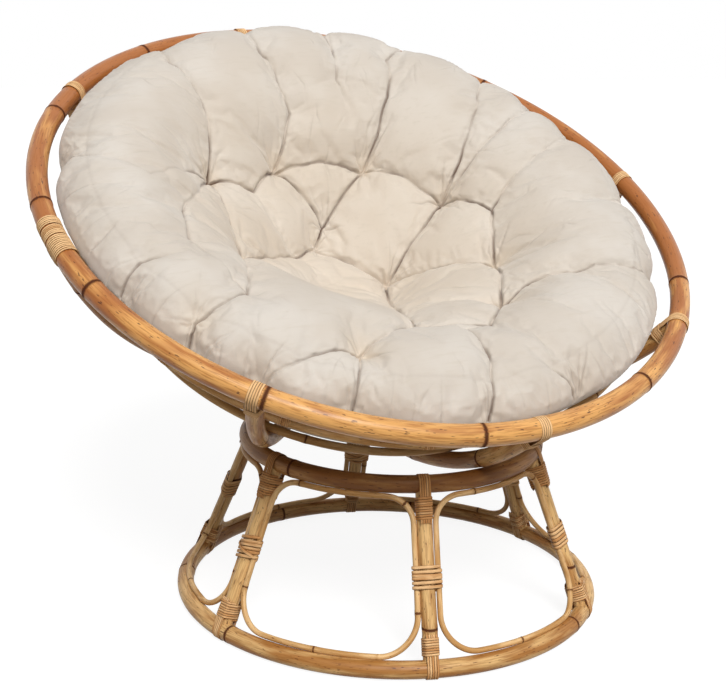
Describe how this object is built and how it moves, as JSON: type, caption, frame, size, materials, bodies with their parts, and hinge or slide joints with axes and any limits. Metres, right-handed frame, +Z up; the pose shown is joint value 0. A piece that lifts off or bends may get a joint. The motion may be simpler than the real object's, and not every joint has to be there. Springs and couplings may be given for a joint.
{
  "type": "papasan chair",
  "caption": "Round rattan bowl chair: a tufted cushion in an open pole bowl that tilts on a flared ring base with bent cane hoops and lashed joints.",
  "frame": {"origin": "on the floor under the middle of the chair's outline", "axes": "+Z is up, -Y is the front, where the bowl is low, and +X is to the right when seen from the front"},
  "size_m": [1.1021, 0.9862, 0.8885],
  "materials": {
    "rattan_pole": "satin varnished rattan",
    "rim_rattan": "satin varnished rattan, golden",
    "thin_cane": "satin cane",
    "lashing_cane": "split cane, low sheen",
    "cushion_cloth": "matte cotton canvas, cream"
  },
  "bodies": {
    "base": {"floor_ring": "rattan_pole", "seat_ring": "rattan_pole", "leg_1": "rattan_pole", "leg_1_foot_lashing": "lashing_cane", "leg_1_head_lashing": "lashing_cane", "leg_1_hoop_tie": "lashing_cane", "hoop_1": "thin_cane", "leg_2": "rattan_pole", "leg_2_foot_lashing": "lashing_cane", "leg_2_head_lashing": "lashing_cane", "leg_2_hoop_tie": "lashing_cane", "hoop_2": "thin_cane", "leg_3": "rattan_pole", "leg_3_foot_lashing": "lashing_cane", "leg_3_head_lashing": "lashing_cane", "leg_3_hoop_tie": "lashing_cane", "hoop_3": "thin_cane", "leg_4": "rattan_pole", "leg_4_foot_lashing": "lashing_cane", "leg_4_head_lashing": "lashing_cane", "leg_4_hoop_tie": "lashing_cane", "hoop_4": "thin_cane", "leg_5": "rattan_pole", "leg_5_foot_lashing": "lashing_cane", "leg_5_head_lashing": "lashing_cane", "leg_5_hoop_tie": "lashing_cane", "hoop_5": "thin_cane", "leg_6": "rattan_pole", "leg_6_foot_lashing": "lashing_cane", "leg_6_head_lashing": "lashing_cane", "leg_6_hoop_tie": "lashing_cane", "hoop_6": "thin_cane"},
    "bowl": {"rim": "rim_rattan", "hub_ring": "rattan_pole", "rib_1": "rattan_pole", "rib_1_rim_lashing": "lashing_cane", "rib_2": "rattan_pole", "rib_2_rim_lashing": "lashing_cane", "rib_3": "rattan_pole", "rib_3_rim_lashing": "lashing_cane", "rib_4": "rattan_pole", "rib_4_rim_lashing": "lashing_cane", "rib_5": "rattan_pole", "rib_5_rim_lashing": "lashing_cane", "rib_6": "rattan_pole", "rib_6_rim_lashing": "lashing_cane", "rib_7": "rattan_pole", "rib_7_rim_lashing": "lashing_cane", "rib_8": "rattan_pole", "rib_8_rim_lashing": "lashing_cane", "upper_cane_ring": "thin_cane", "lower_cane_ring": "thin_cane", "rim_splice_wrap_1": "lashing_cane", "rim_splice_wrap_2": "lashing_cane", "cushion": "cushion_cloth"}
  },
  "joints": [
    {"name": "bowl_tilt", "type": "hinge", "parent": "base", "child": "bowl", "pos_m": [0, -0.1003, 0.8253], "axis": [1, 0, 0], "range_deg": [-27, 8]}
  ]
}
